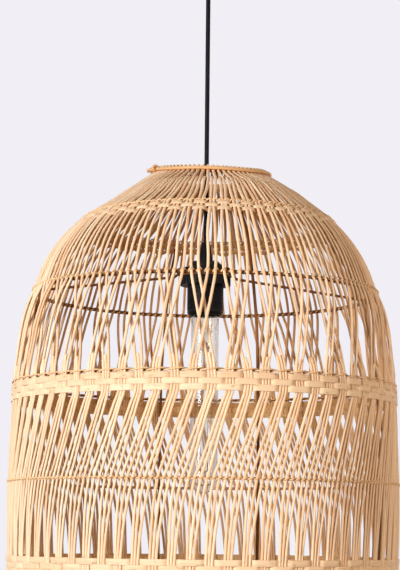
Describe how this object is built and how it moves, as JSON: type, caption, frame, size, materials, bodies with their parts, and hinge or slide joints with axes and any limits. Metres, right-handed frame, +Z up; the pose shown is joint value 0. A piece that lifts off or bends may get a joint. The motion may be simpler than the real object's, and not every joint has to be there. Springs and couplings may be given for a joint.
{
  "type": "pendant ceiling light",
  "caption": "Pendant ceiling light: bell-shaped woven rattan shade on a black cord, with screw lampholder, clear tube lamp and ceiling rose.",
  "frame": {"origin": "centre of the ceiling bar's top face, on the ceiling", "axes": "+Z up along the cord, -Y towards the viewer, +X to the viewer's right"},
  "size_m": [0.4213, 0.4214, 0.7091],
  "materials": {
    "rattan_core": "satin, natural round rattan core",
    "rattan_strip": "satin, flat rattan peel",
    "rattan_twine": "satin, thin twined cane",
    "brown_cane": "satin, dark brown cane rod",
    "black_phenolic": "moulded, satin black",
    "white_plastic": "moulded, matt white",
    "black_cord": "satin black sheath",
    "ceramic": "glazed white insulating core",
    "brass": "bright rolled brass",
    "steel": "zinc-plated steel",
    "black_steel": "powder-coated satin black",
    "cap_metal": "rolled bright metal",
    "glass": "clear blown glass",
    "filament": "carbonised thread",
    "brown_core": "insulated core",
    "blue_core": "insulated core",
    "black_glass": "fused black insulator"
  },
  "bodies": {
    "ceiling_rose": {"ceiling_bar": "steel", "rose_cup": "black_steel", "side_screws": "steel", "cord_gland": "black_phenolic", "gland_nut": "steel", "set_screw": "white_plastic", "terminal_block": "white_plastic", "clamp_screws": "steel", "live_core": "brown_core", "neutral_core": "blue_core", "rose_cord_tail": "black_cord"},
    "cord": {"supply_cord": "black_cord"},
    "pendant": {"band_strips": "rattan_strip", "band_twine": "rattan_twine", "centre_contact": "brass", "cord_grip": "black_phenolic", "core_screws": "brass", "crossbar": "brown_cane", "dome_twine": "rattan_twine", "hem_strips": "rattan_strip", "holder_cap": "black_phenolic", "holder_cord_tail": "black_cord", "holder_core": "ceramic", "holder_skirt": "black_phenolic", "inner_hoop": "rattan_core", "inserted_stakes": "rattan_core", "low_twine": "rattan_twine", "main_strips": "rattan_strip", "main_twine": "rattan_twine", "ribs": "brown_cane", "rim_hoop_inner": "rattan_core", "rim_hoop_outer": "rattan_core", "screw_shell": "brass", "stakes_back": "rattan_core", "stakes_front": "rattan_core", "support_hoop": "brown_cane", "top_ring": "rattan_core", "upper_shade_ring": "black_phenolic"},
    "shade_nut": {"lower_shade_ring": "black_phenolic"},
    "lamp_foot": {"lamp_tip": "cap_metal", "lamp_insulator": "black_glass"},
    "lamp": {"lamp_cap": "cap_metal", "lamp_glass": "glass", "lamp_stem": "glass", "filament": "filament"}
  },
  "joints": [
    {"name": "cord_swing", "type": "hinge", "parent": "ceiling_rose", "child": "cord", "pos_m": [0, 0, -0.045], "axis": [0, 1, 0], "range_deg": [-20, 20]},
    {"name": "shade_tilt", "type": "hinge", "parent": "cord", "child": "pendant", "pos_m": [0, 0, -0.3365], "axis": [1, 0, 0], "range_deg": [-8, 8]},
    {"name": "shade_nut_slide", "type": "slide", "parent": "pendant", "child": "shade_nut", "axis": [0, 0, -1], "range_m": [0, 0.03]},
    {"name": "lamp_travel", "type": "slide", "parent": "pendant", "child": "lamp_foot", "axis": [0, 0, -1], "range_m": [0, 0.01815]},
    {"name": "lamp_turn", "type": "hinge", "parent": "lamp_foot", "child": "lamp", "pos_m": [0, 0, -0.4], "axis": [0, 0, -1], "range_deg": [0, 1800]}
  ],
  "couplings": [
    {"joint": "lamp_turn", "follows": "lamp_travel", "rad_per_m": 1730.9}
  ]
}
